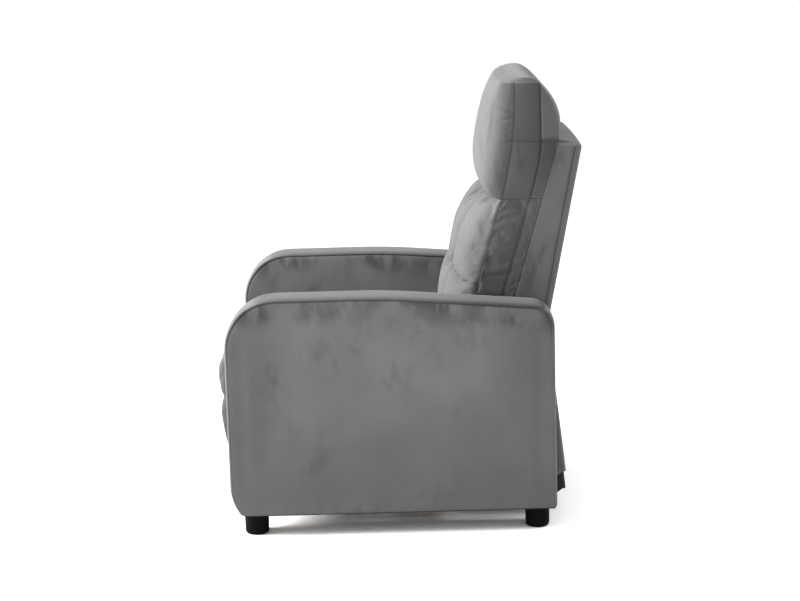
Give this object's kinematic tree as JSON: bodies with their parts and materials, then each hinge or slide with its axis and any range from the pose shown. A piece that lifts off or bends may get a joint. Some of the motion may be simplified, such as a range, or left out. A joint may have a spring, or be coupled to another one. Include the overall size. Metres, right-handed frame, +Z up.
{
  "type": "push-back recliner armchair",
  "caption": "Padded push-back recliner armchair with flat upholstered arms, a tall tufted back with a headrest, a sliding seat and a folding footrest.",
  "frame": {"origin": "on the floor under the middle of the chair", "axes": "+Z up, the sitter faces -Y, +X is the sitter's left"},
  "size_m": [0.68, 0.8449, 1.03],
  "materials": {
    "velvet": "short pile velvet",
    "shell_velvet": "short pile velvet",
    "lining": "non-woven lining",
    "webbing": "elastic webbing",
    "wood": "sawn",
    "steel": "satin black",
    "black_plastic": "moulded"
  },
  "bodies": {
    "base": {"left_arm_cover": "velvet", "right_arm_cover": "velvet", "left_arm_inner_panel": "wood", "right_arm_inner_panel": "wood", "left_arm_outer_panel": "wood", "right_arm_outer_panel": "wood", "left_arm_frame": "wood", "right_arm_frame": "wood", "left_arm_dust_cover": "lining", "right_arm_dust_cover": "lining", "left_front_foot": "black_plastic", "right_front_foot": "black_plastic", "left_rear_foot": "black_plastic", "right_rear_foot": "black_plastic", "left_base_plate": "steel", "right_base_plate": "steel", "front_stretcher": "wood", "rear_stretcher": "wood"},
    "seat": {"seat_front_rail": "wood", "seat_rear_rail": "wood", "seat_webbing": "webbing", "seat_cushion": "velvet", "left_seat_side_rail": "wood", "right_seat_side_rail": "wood", "left_seat_plate": "steel", "right_seat_plate": "steel", "left_rear_glide": "black_plastic", "right_rear_glide": "black_plastic", "left_front_glide": "black_plastic", "right_front_glide": "black_plastic"},
    "backrest": {"back_top_rail": "wood", "back_bottom_rail": "wood", "back_webbing": "webbing", "back_shell": "shell_velvet", "back_cushion": "velvet", "headrest_cushion": "velvet", "left_back_post": "wood", "right_back_post": "wood", "left_back_bracket": "steel", "right_back_bracket": "steel"},
    "flap": {"rear_flap": "shell_velvet", "rear_flap_lining": "lining"},
    "footrest": {"footrest_board": "wood", "footrest_cushion": "velvet", "left_footrest_bracket": "steel", "right_footrest_bracket": "steel"},
    "rear_links": {"left_rear_link": "steel", "right_rear_link": "steel"},
    "rear_control_links": {"left_rear_control_link": "steel", "right_rear_control_link": "steel"},
    "front_links": {"left_front_link": "steel", "right_front_link": "steel"},
    "front_control_links": {"left_front_control_link": "steel", "right_front_control_link": "steel"},
    "drive_links": {"left_footrest_drive_link": "steel", "right_footrest_drive_link": "steel"},
    "back_links": {"left_back_link": "steel", "right_back_link": "steel"}
  },
  "joints": [
    {"name": "seat_slide", "type": "slide", "parent": "base", "child": "seat", "axis": [0, -0.9903, 0.1392], "range_m": [0, 0.12]},
    {"name": "back_recline", "type": "hinge", "parent": "seat", "child": "backrest", "pos_m": [0, 0.235, 0.36], "axis": [-1, 0, 0], "range_deg": [0, 32.5]},
    {"name": "rear_link_swing", "type": "hinge", "parent": "seat", "child": "rear_links", "pos_m": [0, -0.195, 0.33], "axis": [-1, 0, 0], "range_deg": [0, 70.5]},
    {"name": "rear_control_link_swing", "type": "hinge", "parent": "seat", "child": "rear_control_links", "pos_m": [0, -0.15, 0.295], "axis": [-1, 0, 0], "range_deg": [0, 68.8]},
    {"name": "front_link_swing", "type": "hinge", "parent": "rear_links", "child": "front_links", "pos_m": [0, -0.22075, 0.1468], "axis": [-1, 0, 0], "range_deg": [-105.54, 0]},
    {"name": "front_control_link_swing", "type": "hinge", "parent": "rear_links", "child": "front_control_links", "pos_m": [0, -0.22631, 0.10719], "axis": [-1, 0, 0], "range_deg": [-106.04, 0]},
    {"name": "footrest_swing", "type": "hinge", "parent": "front_links", "child": "footrest", "pos_m": [0, -0.335, 0.345], "axis": [-1, 0, 0], "range_deg": [0, 120.54]},
    {"name": "drive_link_swing", "type": "hinge", "parent": "base", "child": "drive_links", "pos_m": [0, -0.12, 0.12], "axis": [-1, 0, 0], "range_deg": [-26.08, 0]},
    {"name": "back_link_swing", "type": "hinge", "parent": "base", "child": "back_links", "pos_m": [0, 0.04, 0.175], "axis": [-1, 0, 0], "range_deg": [-23.08, 0]},
    {"name": "flap_hang", "type": "hinge", "parent": "backrest", "child": "flap", "pos_m": [0, 0.338, 0.4467], "axis": [-1, 0, 0], "range_deg": [-32.5, 0]}
  ],
  "couplings": [
    {"joint": "back_recline", "follows": "seat_slide", "rad_per_m": 4.6542},
    {"joint": "rear_link_swing", "follows": "seat_slide", "rad_per_m": 10.181},
    {"joint": "rear_control_link_swing", "follows": "seat_slide", "rad_per_m": 9.9338},
    {"joint": "front_link_swing", "follows": "seat_slide", "rad_per_m": -15.277},
    {"joint": "front_control_link_swing", "follows": "seat_slide", "rad_per_m": -15.35},
    {"joint": "footrest_swing", "follows": "seat_slide", "rad_per_m": 17.459},
    {"joint": "drive_link_swing", "follows": "seat_slide", "rad_per_m": -3.7205},
    {"joint": "back_link_swing", "follows": "seat_slide", "rad_per_m": -3.2835},
    {"joint": "flap_hang", "follows": "seat_slide", "rad_per_m": -4.6542}
  ]
}
